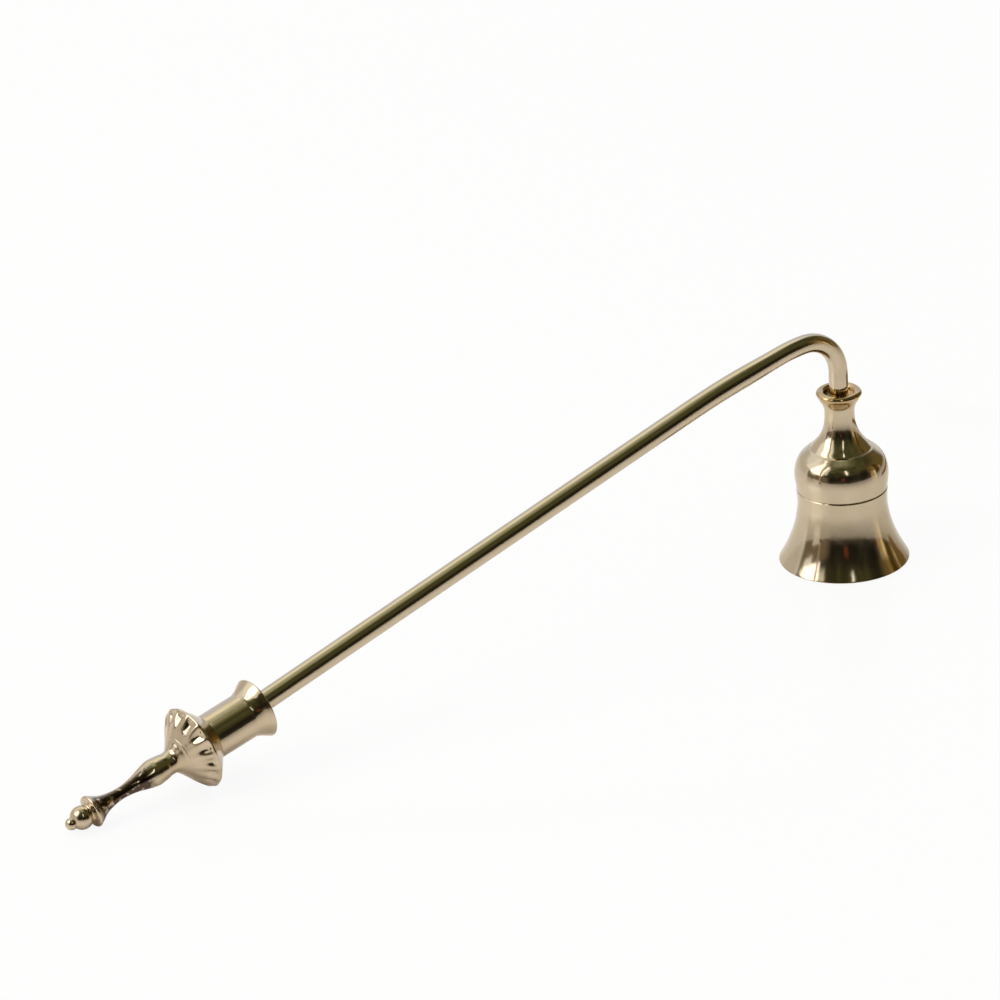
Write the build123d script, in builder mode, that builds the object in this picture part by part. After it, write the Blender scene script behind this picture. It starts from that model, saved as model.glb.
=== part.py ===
from build123d import *
import math
import os

# Brass candle snuffer: a bell on a bent rod, with a turned handle. Millimetres, +Z up.
# It stands as it lies on a table, on the bell's mouth and on the ring of the finial.
# The origin is on the table, midway between the finial's end and the far side of the
# bell's mouth, and the handle points along -X.

os.makedirs("parts", exist_ok=True)

# Bell skirt
mouth_radius = 19.9
mouth_round = 0.2
flare_height = 19.3
skirt_waist_radius = 13.75
collar_height = 4.4
skirt_wall = 1.1
skirt_mouth_angle = 29.0
joint_angle = 4.6
spigot_height = 2.2
spigot_wall = 0.7
spigot_lead = 2.4

# Bell dome
dome_height = 13.3
dome_foot_radius = 13.96
dome_belly_radius = 14.4
dome_belly_height = 4.9
shoulder_radius = 9.6
shoulder_angle = 48.0
dome_wall = 1.0
joint_groove = 0.35
shoulder_line = 0.15

# Bell neck and its cup
neck_height = 18.0
neck_waist_radius = 4.61
neck_waist_height = 10.8
cup_radius = 7.05
cup_angle = 12.0
cup_lip_width = 2.6
cup_lip_rise = 0.95
dish_depth = 2.6
dish_floor_width = 0.35
socket_depth = 2.0
socket_clearance = 0.03

# Rod
rod_radius = 3.175
slim_radius = 2.92
drop_length = 11.7
crook_radius = 12.7
crest_radius = 55.0
crest_angle = 2.0
taper_length = 16.0
sweep_radius = 250.0
sweep_angle = 4.2
run_length = 182.95
handle_tilt_angle = 2.5
tail_radius = 70.0
tail_length = 0.8

# Studs, nut and washers
stud_radius = 2.0
stud_grip = 5.0
stud_clearance = 0.1
stud_end = 0.3
thread_pitch = 0.7
thread_depth = 0.35
thread_turns = 3
nut_across_flats = 7.0
nut_height = 3.0
nut_bevel_angle = 30.0
bell_washer_radius = 4.6
sleeve_washer_radius = 4.4
washer_thickness = 0.8

# Handle sleeve
sleeve_radius = 7.11
sleeve_wall = 1.3
sleeve_floor = 2.0
sleeve_barrel = 13.2
flare_radius = 9.45
flare_length = 5.2
flare_angle = 31.0
lip_width = 1.1
lip_rise = 0.55

# Gadrooned disc
disc_radius = 13.2
disc_front = 5.3
disc_back = 5.75
disc_seat_radius = 6.8
disc_foot_step = 0.24
lobe_count = 16
lobe_depth = 1.2
lobe_phase_angle = 10.25

# Finial, each length measured from the feature before it
finial_seat_angle = 35.0
stem_radius = 3.62
stem_length = 4.7
swelling_radius = 4.22
swelling_length = 4.8
waist_radius = 1.85
waist_length = 12.3
ring_radius = 5.1
ring_length = 11.0
ring_edge = 0.6
ring_entry_angle = 33.0
ring_exit_angle = 60.0
cove_radius = 2.9
cove_length = 1.6
cove_angle = 17.0
ball_radius = 3.65
ball_length = 2.25
button_radius = 1.9
button_inset = 0.15
button_length = 3.8
finial_hole_depth = 6.0

# Shares of an outline from its start to its end: how far along it, how much of its swing is left
skirt_flare_shares = ((0.0, 1.0), (0.19, 0.68), (0.38, 0.418), (0.57, 0.214), (0.77, 0.077), (1.0, 0.0))
dome_shoulder_shares = ((0.0, 1.0), (0.38, 0.892), (0.68, 0.625), (1.0, 0.0))
neck_foot_shares = ((0.0, 1.0), (0.085, 0.84), (0.204, 0.615), (0.426, 0.283), (0.657, 0.092), (1.0, 0.0))
neck_cup_shares = ((0.0, 1.0), (0.3, 0.95), (0.535, 0.72), (0.74, 0.37), (0.88, 0.14), (1.0, 0.0))
sleeve_flare_shares = ((0.0, 1.0), (0.29, 0.85), (0.59, 0.54), (0.8, 0.25), (1.0, 0.0))
finial_base_shares = (
    (0.0, 1.0), (0.073, 0.874), (0.14, 0.733), (0.25, 0.56), (0.365, 0.371),
    (0.48, 0.189), (0.57, 0.082), (0.667, 0.025), (1.0, 0.0),
)
finial_stem_shares = ((0.0, 1.0), (0.23, 0.69), (0.46, 0.42), (0.69, 0.22), (1.0, 0.0))
finial_taper_shares = ((0.0, 1.0), (0.16, 0.87), (0.35, 0.615), (0.54, 0.33), (0.74, 0.126), (1.0, 0.0))
finial_trumpet_shares = ((0.0, 1.0), (0.31, 0.915), (0.46, 0.815), (0.62, 0.66), (0.77, 0.41), (0.87, 0.21))

# Shares of the disc's two faces: along the face's depth, swing of radius left, depth of the lobes
disc_front_shares = (
    (0.0, 1.0, 0.04), (0.151, 0.833, 0.1), (0.283, 0.681, 0.18), (0.396, 0.556, 0.29),
    (0.509, 0.442, 0.48), (0.623, 0.333, 0.73), (0.736, 0.23, 0.93), (0.83, 0.147, 1.0),
    (0.906, 0.084, 0.88), (0.962, 0.041, 0.62),
)
disc_back_shares = (
    (0.0, 0.983, 0.42), (0.052, 1.0, 0.25), (0.096, 0.986, 0.17), (0.139, 0.945, 0.12), (0.278, 0.795, 0.07),
    (0.452, 0.602, 0.02), (0.626, 0.41, 0.0), (0.817, 0.197, 0.0), (1.0, 0.0, 0.0),
)


def between(start, end, share):
    """The value that lies a share of the way from start to end."""
    return start + (end - start) * share


def outline(shares, start, end):
    """The points of a turned outline from start to end, each a radius and a height."""
    return [(between(end[0], start[0], left), between(start[1], end[1], along)) for along, left in shares]


def set_in(points, wall):
    """An outline moved towards the axis by a wall."""
    return [(radius - wall, height) for radius, height in points]


def upwards(angle):
    """The way an outline heads when it rises along its axis and leans out from it by an angle."""
    return math.sin(math.radians(angle)), math.cos(math.radians(angle))


def downwards(angle):
    """The way an outline heads when it falls along its axis and leans out from it by an angle."""
    return math.sin(math.radians(angle)), -math.cos(math.radians(angle))


def turn(from_slope, to_slope, radius):
    """The move along an arc: how far back along -X, and how far down."""
    start, end = math.radians(from_slope), math.radians(to_slope)
    return radius * (math.sin(end) - math.sin(start)), radius * (math.cos(start) - math.cos(end))


def straight(slope, length):
    """The move along a straight stretch: how far back along -X, and how far down."""
    return length * math.cos(math.radians(slope)), length * math.sin(math.radians(slope))


def rod_stretches(slope):
    """The rod from the top of its drop: each stretch's first and last slope, its radius or length."""
    taper_slope = slope - sweep_angle
    return (
        (-90.0, crest_angle, crook_radius),
        (crest_angle, taper_slope, crest_radius),
        (taper_slope, taper_slope, taper_length),
        (taper_slope, slope, sweep_radius),
        (slope, slope, run_length),
        (slope, slope - handle_tilt_angle, -tail_radius),
        (slope - handle_tilt_angle, slope - handle_tilt_angle, tail_length),
    )


def move(stretch, share):
    """The move along a share of one stretch of the rod."""
    first, last, size = stretch
    if first == last:
        return straight(first, size * share)
    return turn(first, between(first, last, share), size)


def keep(piece, name):
    """Names a finished piece and writes it."""
    piece.part.label = name
    export_step(piece.part, f"parts/{name}.step")


# Where the bell's pieces meet, above the table
skirt_height = flare_height + collar_height
spigot_radius = dome_foot_radius - dome_wall
spigot_top = skirt_height + spigot_height
shoulder_height = skirt_height + dome_height
dome_ceiling = shoulder_height - dome_wall
lip_height = shoulder_height + neck_height
dish_floor_height = lip_height - dish_depth
socket_floor_height = dish_floor_height - socket_depth
crook_height = socket_floor_height + drop_length

# Where the handle's pieces meet, along its own line from the disc's widest plane
sleeve_seat = disc_back
washer_seat = sleeve_seat + sleeve_floor
rod_end = washer_seat + washer_thickness
stud_hole = stud_radius + stud_clearance

# The finial's features, from its seat on the disc
swelling_at = stem_length + swelling_length
waist_at = swelling_at + waist_length
ring_at = waist_at + ring_length
cove_at = ring_at + cove_length
ball_at = cove_at + ball_length
button_at = ball_at + button_length
finial_length = button_at + button_radius


def ring_clearance(slope):
    """How high the finial's ring hangs above the table when the rod has this slope."""
    fall = sum(move(stretch, 1)[1] for stretch in rod_stretches(slope))
    fall += straight(slope - handle_tilt_angle, rod_end + disc_front + ring_at)[1]
    level = math.cos(math.radians(slope - handle_tilt_angle))
    return crook_height - fall - (ring_radius - ring_edge) * level - ring_edge


# The rod's slope lets the bell's mouth and the finial's ring rest on the table together
flattest, steepest = 0.0, 60.0
for halving in range(50):
    rod_slope = between(flattest, steepest, 0.5)
    if ring_clearance(rod_slope) > 0:
        flattest = rod_slope
    else:
        steepest = rod_slope
handle_slope = rod_slope - handle_tilt_angle

# The bell's place, with the origin midway along the snuffer
rod_reach = sum(move(stretch, 1)[0] for stretch in rod_stretches(rod_slope))
end_reach = straight(handle_slope, rod_end + disc_front + button_at)[0] + button_radius
bell_x = (rod_reach + end_reach - mouth_radius) / 2
bell_plane = Plane(origin=(bell_x, 0, 0), x_dir=(1, 0, 0), z_dir=(0, -1, 0))
bell_axis = Axis((bell_x, 0, 0), (0, 0, 1))

# The rod's corners from the top of its drop to its end, and the middle of each stretch
corners = [Vector(bell_x, 0, crook_height)]
middles = []
for stretch in rod_stretches(rod_slope):
    half_back, half_down = move(stretch, 0.5)
    back, down = move(stretch, 1)
    middles.append(corners[-1] - Vector(half_back, 0, half_down))
    corners.append(corners[-1] - Vector(back, 0, down))

# The handle's line, from the finial towards the bell
handle_back, handle_down = straight(handle_slope, 1)
handle_line = Vector(handle_back, 0, handle_down)
disc_centre = corners[-1] - handle_line * rod_end
handle_plane = Plane(origin=disc_centre, x_dir=(-handle_down, 0, handle_back), z_dir=(0, 1, 0))
handle_axis = Axis(disc_centre, handle_line)


def across_handle(along):
    """The plane square to the handle's line, at a distance from the disc's widest plane."""
    return Plane(origin=disc_centre + handle_line * along, x_dir=(0, 1, 0), z_dir=handle_line)


# Bell skirt: a flared shell, with a spigot that stands inside the dome
skirt_waist = (skirt_waist_radius, flare_height)
skirt_flare = outline(skirt_flare_shares, (mouth_radius, mouth_round), skirt_waist)
skirt_top = (dome_foot_radius, skirt_height - joint_groove)
with BuildPart() as bell_skirt:
    with BuildSketch(bell_plane):
        with BuildLine():
            Spline(*skirt_flare, tangents=[upwards(-skirt_mouth_angle), upwards(0)])
            Spline(skirt_flare[-1], skirt_top, tangents=[upwards(0), upwards(joint_angle)])
            Polyline(
                skirt_top,
                (dome_foot_radius - joint_groove, skirt_height),
                (spigot_radius, skirt_height),
                (spigot_radius, spigot_top),
                (spigot_radius - spigot_wall, spigot_top),
                (spigot_radius - spigot_wall, skirt_height),
                (skirt_waist_radius - skirt_wall, skirt_height - spigot_lead),
                (skirt_waist_radius - skirt_wall, flare_height),
            )
            Spline(*set_in(skirt_flare, skirt_wall), tangents=[upwards(-skirt_mouth_angle), upwards(0)])
            Polyline(
                (mouth_radius - skirt_wall, mouth_round),
                (mouth_radius - skirt_wall, 0),
                (mouth_radius - mouth_round, 0),
            )
            CenterArc((mouth_radius - mouth_round, mouth_round), mouth_round, -90, 90)
        make_face()
    revolve(axis=bell_axis)
keep(bell_skirt, "bell_skirt")

# Bell dome: a rounded shell that closes the bell and carries the neck
dome_foot = (dome_foot_radius, skirt_height + joint_groove)
dome_belly = (dome_belly_radius, skirt_height + dome_belly_height)
dome_shoulder = outline(dome_shoulder_shares, dome_belly, (shoulder_radius, shoulder_height))
inner_foot = (spigot_radius, spigot_top)
inner_belly = (dome_belly_radius - dome_wall, skirt_height + dome_belly_height)
inner_shoulder = outline(dome_shoulder_shares, inner_belly, (shoulder_radius - dome_wall, dome_ceiling))
with BuildPart() as bell_dome:
    with BuildSketch(bell_plane):
        with BuildLine():
            Spline(dome_foot, *dome_shoulder, tangents=[upwards(joint_angle), upwards(-shoulder_angle)])
            Polyline(
                (shoulder_radius, shoulder_height),
                (stud_hole, shoulder_height),
                (stud_hole, dome_ceiling),
                inner_shoulder[-1],
            )
            Spline(inner_foot, *inner_shoulder, tangents=[upwards(joint_angle), upwards(-shoulder_angle)])
            Polyline(
                inner_foot,
                (spigot_radius, skirt_height),
                (dome_foot_radius - joint_groove, skirt_height),
                dome_foot,
            )
        make_face()
    revolve(axis=bell_axis)
keep(bell_dome, "bell_dome")

# Bell neck: turned from the solid, with a dished cup on top where the rod stands in its socket
neck_waist = (neck_waist_radius, shoulder_height + neck_waist_height)
neck_foot = outline(neck_foot_shares, (shoulder_radius - shoulder_line, shoulder_height), neck_waist)
neck_cup = outline(neck_cup_shares, neck_waist, (cup_radius, lip_height))
socket_radius = slim_radius + socket_clearance
dish_floor_radius = socket_radius + dish_floor_width
with BuildPart() as bell_neck:
    with BuildSketch(bell_plane):
        with BuildLine():
            Spline(*neck_foot, tangents=[upwards(-shoulder_angle), upwards(0)])
            Spline(*neck_cup, tangents=[upwards(0), upwards(cup_angle)])
            ThreePointArc(
                (cup_radius, lip_height),
                (cup_radius - cup_lip_width / 2, lip_height + cup_lip_rise),
                (cup_radius - cup_lip_width, lip_height),
            )
            Spline(
                (cup_radius - cup_lip_width, lip_height),
                (dish_floor_radius, dish_floor_height),
                tangents=[downwards(0), (-1, 0)],
            )
            Polyline(
                (dish_floor_radius, dish_floor_height),
                (socket_radius, dish_floor_height),
                (socket_radius, socket_floor_height),
                (stud_radius, socket_floor_height),
                (stud_radius, shoulder_height),
                neck_foot[0],
            )
        make_face()
    revolve(axis=bell_axis)
keep(bell_neck, "bell_neck")

# Bell washer and nut, inside the dome
with BuildPart() as bell_washer:
    with BuildSketch(Plane((bell_x, 0, dome_ceiling - washer_thickness))):
        Circle(bell_washer_radius)
        Circle(stud_hole, mode=Mode.SUBTRACT)
    extrude(amount=washer_thickness)
keep(bell_washer, "bell_washer")

nut_top = dome_ceiling - washer_thickness
nut_bottom = nut_top - nut_height
nut_flat = nut_across_flats / 2
nut_corner = nut_flat / math.cos(math.pi / 6)
nut_bevel = (nut_corner - nut_flat) * math.tan(math.radians(nut_bevel_angle))
with BuildPart() as bell_nut:
    with BuildSketch(Plane((bell_x, 0, nut_bottom))):
        RegularPolygon(nut_flat, 6, major_radius=False)
        Circle(stud_radius, mode=Mode.SUBTRACT)
    extrude(amount=nut_height)
    with BuildSketch(bell_plane):
        with BuildLine():
            Polyline(
                (0, nut_bottom),
                (nut_flat, nut_bottom),
                (nut_corner, nut_bottom + nut_bevel),
                (nut_corner, nut_top - nut_bevel),
                (nut_flat, nut_top),
                (0, nut_top),
                close=True,
            )
        make_face()
    revolve(axis=bell_axis, mode=Mode.INTERSECT)
keep(bell_nut, "bell_nut")

# Bell stud: from the rod down through the neck, the dome, the washer and the nut
stud_top = socket_floor_height + stud_grip
thread_points = [(stud_radius, stud_top), (stud_radius, nut_bottom)]
for ring in range(thread_turns):
    ring_top = nut_bottom - thread_pitch * ring
    thread_points.append((stud_radius - thread_depth, ring_top - thread_pitch / 2))
    thread_points.append((stud_radius, ring_top - thread_pitch))
stud_bottom = nut_bottom - thread_pitch * thread_turns - stud_end
with BuildPart() as bell_stud:
    with BuildSketch(bell_plane):
        with BuildLine():
            Polyline(
                (0, stud_top),
                *thread_points,
                (stud_radius - stud_end, stud_bottom),
                (0, stud_bottom),
                close=True,
            )
        make_face()
    revolve(axis=bell_axis)
keep(bell_stud, "bell_stud")

# Rod: a slim end that drops into the cup and crooks over, a short taper, then the long run
with BuildPart() as rod:
    with BuildLine() as slim_line:
        Line((bell_x, 0, socket_floor_height), corners[0])
        ThreePointArc(corners[0], middles[0], corners[1])
        ThreePointArc(corners[1], middles[1], corners[2])
    with BuildSketch(Plane((bell_x, 0, socket_floor_height), x_dir=(0, 1, 0), z_dir=(0, 0, 1))):
        Circle(slim_radius)
    sweep(path=slim_line.wire())
    taper_line = corners[3] - corners[2]
    with BuildSketch(Plane(corners[2], x_dir=(0, 1, 0), z_dir=taper_line)):
        Circle(slim_radius)
    with BuildSketch(Plane(corners[3], x_dir=(0, 1, 0), z_dir=taper_line)):
        Circle(rod_radius)
    loft()
    with BuildLine() as long_line:
        ThreePointArc(corners[3], middles[3], corners[4])
        Line(corners[4], corners[5])
        ThreePointArc(corners[5], middles[5], corners[6])
        Line(corners[6], corners[7])
    with BuildSketch(Plane(corners[3], x_dir=(0, 1, 0), z_dir=taper_line)):
        Circle(rod_radius)
    sweep(path=long_line.wire())
    with BuildSketch(Plane((bell_x, 0, socket_floor_height))):
        Circle(stud_radius)
    extrude(amount=stud_grip, mode=Mode.SUBTRACT)
    with BuildSketch(across_handle(rod_end)):
        Circle(stud_radius)
    extrude(amount=stud_grip, mode=Mode.SUBTRACT)
keep(rod, "rod")

# Handle sleeve: an open cup with a flared lip, bored through its floor
flare_start = sleeve_seat + sleeve_barrel
flare_end = flare_start + flare_length
sleeve_flare = outline(sleeve_flare_shares, (sleeve_radius, flare_start), (flare_radius, flare_end))
sleeve_bore = sleeve_radius - sleeve_wall
flare_bore = flare_radius - lip_width
inner_flare = outline(sleeve_flare_shares, (sleeve_bore, flare_start), (flare_bore, flare_end))
with BuildPart() as handle_sleeve:
    with BuildSketch(handle_plane):
        with BuildLine():
            Line((sleeve_radius, sleeve_seat), (sleeve_radius, flare_start))
            Spline(*sleeve_flare, tangents=[upwards(0), upwards(flare_angle)])
            ThreePointArc(
                (flare_radius, flare_end),
                (flare_radius - lip_width / 2, flare_end + lip_rise),
                (flare_radius - lip_width, flare_end),
            )
            Spline(*inner_flare, tangents=[upwards(0), upwards(flare_angle)])
            Polyline(
                (sleeve_bore, flare_start),
                (sleeve_bore, washer_seat),
                (stud_hole, washer_seat),
                (stud_hole, sleeve_seat),
                (sleeve_radius, sleeve_seat),
            )
        make_face()
    revolve(axis=handle_axis)
keep(handle_sleeve, "handle_sleeve")

# Sleeve washer, between the sleeve's floor and the rod's end
with BuildPart() as sleeve_washer:
    with BuildSketch(across_handle(washer_seat)):
        Circle(sleeve_washer_radius)
        Circle(stud_hole, mode=Mode.SUBTRACT)
    extrude(amount=washer_thickness)
keep(sleeve_washer, "sleeve_washer")


# Gadrooned disc: lobes that swell from the finial's seat to the rim and fade behind it
def lobed_ring(radius, depth):
    """One ring of arcs, each a lobe that bulges out between two valleys."""
    for lobe in range(lobe_count):
        angles = [lobe_phase_angle + 360 * (lobe + share) / lobe_count for share in (-0.5, 0, 0.5)]
        radii = (radius - depth, radius, radius - depth)
        turns = [math.radians(angle) for angle in angles]
        ThreePointArc(*[(r * math.cos(a), r * math.sin(a)) for r, a in zip(radii, turns)])


disc_foot_radius = sleeve_radius + disc_foot_step
disc_rings = [
    (disc_front * (along - 1), between(disc_radius, disc_seat_radius, left), lobe_depth * deep)
    for along, left, deep in disc_front_shares
] + [
    (disc_back * along, between(disc_foot_radius, disc_radius, left), lobe_depth * deep)
    for along, left, deep in disc_back_shares
]
with BuildPart() as gadrooned_disc:
    for along, radius, depth in disc_rings:
        with BuildSketch(across_handle(along)):
            with BuildLine():
                lobed_ring(radius, depth)
            make_face()
    loft(ruled=True)
    with BuildSketch(across_handle(-disc_front)):
        Circle(stud_hole)
    extrude(amount=disc_front + disc_back, mode=Mode.SUBTRACT)
keep(gadrooned_disc, "gadrooned_disc")


# Finial: turned in one piece, tapped at its seat
def on_finial(radius, length):
    """A point of the finial's outline, at a length from its seat on the disc."""
    return (radius, -disc_front - length)


def on_ring_edge(angle):
    """A point on the round edge of the ring, turned from its widest place towards the end."""
    across = ring_edge * math.cos(math.radians(angle))
    along = ring_edge * math.sin(math.radians(angle))
    return on_finial(ring_radius - ring_edge + across, ring_at + along)


stem = on_finial(stem_radius, stem_length)
swelling = on_finial(swelling_radius, swelling_at)
waist = on_finial(waist_radius, waist_at)
base_curve = outline(finial_base_shares, on_finial(disc_seat_radius, 0), stem)
stem_curve = outline(finial_stem_shares, stem, swelling)
taper_curve = outline(finial_taper_shares, swelling, waist)
trumpet_curve = outline(finial_trumpet_shares, waist, on_finial(ring_radius, ring_at))
cove = on_finial(cove_radius, cove_at)
button_neck_radius = button_radius - button_inset
button_neck_at = button_at - math.sqrt(button_radius**2 - button_neck_radius**2)
button_neck = on_finial(button_neck_radius, button_neck_at)
with BuildPart() as finial:
    with BuildSketch(handle_plane):
        with BuildLine():
            Spline(*base_curve, tangents=[downwards(-finial_seat_angle), downwards(0)])
            Spline(*stem_curve, tangents=[downwards(0), downwards(0)])
            Spline(*taper_curve, tangents=[downwards(0), downwards(0)])
            Spline(
                *trumpet_curve,
                on_ring_edge(-ring_entry_angle),
                tangents=[downwards(0), downwards(ring_entry_angle)],
            )
            ThreePointArc(on_ring_edge(-ring_entry_angle), on_ring_edge(0), on_ring_edge(ring_exit_angle))
            Spline(
                on_ring_edge(ring_exit_angle),
                cove,
                tangents=[downwards(-ring_exit_angle), downwards(-cove_angle)],
            )
            ThreePointArc(cove, on_finial(ball_radius, ball_at), button_neck)
            ThreePointArc(
                button_neck,
                on_finial(button_radius, button_at),
                on_finial(0, finial_length),
            )
            Polyline(
                on_finial(0, finial_length),
                on_finial(0, finial_hole_depth),
                on_finial(stud_radius, finial_hole_depth),
                on_finial(stud_radius, 0),
                on_finial(disc_seat_radius, 0),
            )
        make_face()
    revolve(axis=handle_axis)
keep(finial, "finial")

# Handle stud: from the rod's end through the washer, the sleeve and the disc into the finial
stud_far_end = disc_front + finial_hole_depth - stud_end
with BuildPart() as handle_stud:
    with BuildSketch(across_handle(-stud_far_end)):
        Circle(stud_radius)
    extrude(amount=stud_far_end + rod_end + stud_grip)
    chamfer(handle_stud.edges().filter_by(GeomType.CIRCLE), stud_end)
keep(handle_stud, "handle_stud")

disc_low = disc_centre.Z - disc_radius * math.cos(math.radians(handle_slope))
print(f"rod slope {rod_slope:.2f} deg, handle slope {handle_slope:.2f} deg, bell at x {bell_x:.2f}")
print(f"crest of the rod {corners[1].Z + slim_radius:.1f}, disc clears the table by {disc_low:.2f}")
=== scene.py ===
import math

import bmesh
import bpy
import numpy as np
from mathutils import Matrix, Vector


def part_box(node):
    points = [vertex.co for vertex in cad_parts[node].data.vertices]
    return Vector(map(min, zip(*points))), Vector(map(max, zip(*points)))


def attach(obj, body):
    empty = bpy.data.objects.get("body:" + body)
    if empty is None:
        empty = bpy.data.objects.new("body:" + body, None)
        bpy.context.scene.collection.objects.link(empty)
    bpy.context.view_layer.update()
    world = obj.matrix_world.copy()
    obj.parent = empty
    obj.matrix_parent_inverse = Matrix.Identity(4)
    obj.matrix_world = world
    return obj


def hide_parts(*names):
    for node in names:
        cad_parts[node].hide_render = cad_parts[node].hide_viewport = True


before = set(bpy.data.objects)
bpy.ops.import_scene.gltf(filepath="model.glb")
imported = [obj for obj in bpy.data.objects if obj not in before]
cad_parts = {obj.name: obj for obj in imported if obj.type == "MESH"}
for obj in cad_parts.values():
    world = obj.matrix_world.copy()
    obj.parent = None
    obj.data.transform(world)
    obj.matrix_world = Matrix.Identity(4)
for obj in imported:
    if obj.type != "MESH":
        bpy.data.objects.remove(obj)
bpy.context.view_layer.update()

MM = 0.001


# The bell's sizes, in millimetres above the table
MOUTH_RADIUS = 19.9
MOUTH_ROUND = 0.25
FLARE_HEIGHT = 19.3
SKIRT_WAIST_RADIUS = 13.75
SKIRT_HEIGHT = 23.7
SKIRT_WALL = 1.1
SPIGOT_TOP = 25.9
SPIGOT_WALL = 0.7
SPIGOT_LEAD = 2.4
DOME_FOOT_RADIUS = 13.96
DOME_BELLY_RADIUS = 14.4
DOME_BELLY_HEIGHT = 28.6
DOME_WALL = 1.0
JOINT_GROOVE = 0.3
MOUTH_LEAN = -29
JOINT_LEAN = 4.6
SHOULDER_RADIUS = 9.6
SHOULDER_HEIGHT = 37.0
SHOULDER_LINE = 0.22
SHOULDER_LEAN = -48
NECK_WAIST_RADIUS = 4.61
NECK_WAIST_HEIGHT = 47.8
CUP_RADIUS = 7.05
CUP_LEAN = 12
LIP_HEIGHT = 55.0
CUP_LIP_WIDTH = 2.6
CUP_LIP_RISE = 0.95
DISH_FLOOR_RADIUS = 3.3
DISH_FLOOR_HEIGHT = 53.6
SOCKET_RADIUS = 2.95
SOCKET_HEIGHT = 50.4
STUD_RADIUS = 2.0
STUD_HOLE = 2.1

# The rod's sizes
ROD_RADIUS = 3.175
SLIM_RADIUS = 2.92
CROOK_HEIGHT = 62.1
CROOK_RADIUS = 12.7
CREST_ANGLE = 2.0
CREST_RADIUS = 55.0
TAPER_LENGTH = 16.0
SWEEP_TURN = 4.2
SWEEP_RADIUS = 250.0
RUN_LENGTH = 182.95
HANDLE_TILT = 2.5
TAIL_RADIUS = 70.0
TAIL_LENGTH = 0.8
ROD_BEVEL = 0.15
STUD_GRIP = 5.0

# The handle's sizes, along its line from the disc's widest plane
ROD_END = 8.55
SLEEVE_SEAT = 5.75
SLEEVE_FLOOR = 7.75
SLEEVE_RADIUS = 7.11
SLEEVE_WALL = 1.3
FLARE_START = 18.95
FLARE_END = 24.15
FLARE_RADIUS = 9.45
FLARE_LEAN = 31
LIP_WIDTH = 1.1
LIP_RISE = 0.55
DISC_RADIUS = 13.2
DISC_FRONT = 5.3
DISC_BACK = 5.75
DISC_SEAT_RADIUS = 6.8
DISC_FOOT_RADIUS = 7.35
DISC_FRONT_LEAN = 55
DISC_BACK_LEAN = -48
LOBES = 16
LOBE_DEPTH = 1.2
LOBE_PHASE = math.radians(21.5)

# The finial's features, each a radius and how far it lies past the disc's front
STEM = (3.62, 4.7)
SWELLING = (4.22, 9.5)
WAIST = (1.85, 21.8)
RING = (5.1, 32.8)
COVE = (2.9, 34.4)
BALL = (3.65, 36.65)
BUTTON = (1.9, 40.45)
BUTTON_NECK = (1.75, 39.71)
BASE_LEAN = -35
RING_EDGE = 0.6
RING_LEAN = 33
RING_FALL = 60
COVE_LEAN = 17
FINIAL_HOLE = 6.0

# How many sides the turned pieces have, and how finely their outlines are drawn
BELL_SIDES = 192
NECK_SIDES = 160
SLEEVE_SIDES = 160
FINIAL_SIDES = 128
SIDES_PER_LOBE = 24
ROD_SIDES = 72
FINE_STEPS = 10
LONGEST_STRETCH = 2
LONGEST_HANDLE_STRETCH = 3

# Shares of an outline: how far along it, how much of its swing is left
SKIRT_SHARES = ((0, 1), (0.19, 0.68), (0.38, 0.418), (0.57, 0.214), (0.77, 0.077), (1, 0))
SHOULDER_SHARES = ((0, 1), (0.38, 0.892), (0.68, 0.625), (1, 0))
NECK_FOOT_SHARES = ((0, 1), (0.085, 0.84), (0.204, 0.615), (0.426, 0.283), (0.657, 0.092), (1, 0))
NECK_CUP_SHARES = ((0, 1), (0.3, 0.95), (0.535, 0.72), (0.74, 0.37), (0.88, 0.14), (1, 0))
FLARE_SHARES = ((0, 1), (0.29, 0.85), (0.59, 0.54), (0.8, 0.25), (1, 0))
BASE_SHARES = (
    (0, 1), (0.073, 0.874), (0.14, 0.733), (0.25, 0.56), (0.365, 0.371),
    (0.48, 0.189), (0.57, 0.082), (0.667, 0.025), (1, 0),
)
STEM_SHARES = ((0, 1), (0.23, 0.69), (0.46, 0.42), (0.69, 0.22), (1, 0))
TAPER_SHARES = ((0, 1), (0.16, 0.87), (0.35, 0.615), (0.54, 0.33), (0.74, 0.126), (1, 0))
TRUMPET_SHARES = ((0, 1), (0.31, 0.915), (0.46, 0.815), (0.62, 0.66), (0.77, 0.41), (0.87, 0.21))

bell_low, bell_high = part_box("bell_skirt")
BELL_X = (bell_low.x + bell_high.x) / 2 / MM


def between(start, end, share):
    return start + (end - start) * share


def outline(shares, start, end):
    """The points of a turned outline from start to end, each a radius and a height."""
    return [
        (between(end[0], start[0], left), between(start[1], end[1], along))
        for along, left in shares
    ]


def heading(angle):
    """The way an outline heads when it leans out by an angle as it rises."""
    return math.sin(math.radians(angle)), math.cos(math.radians(angle))


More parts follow.
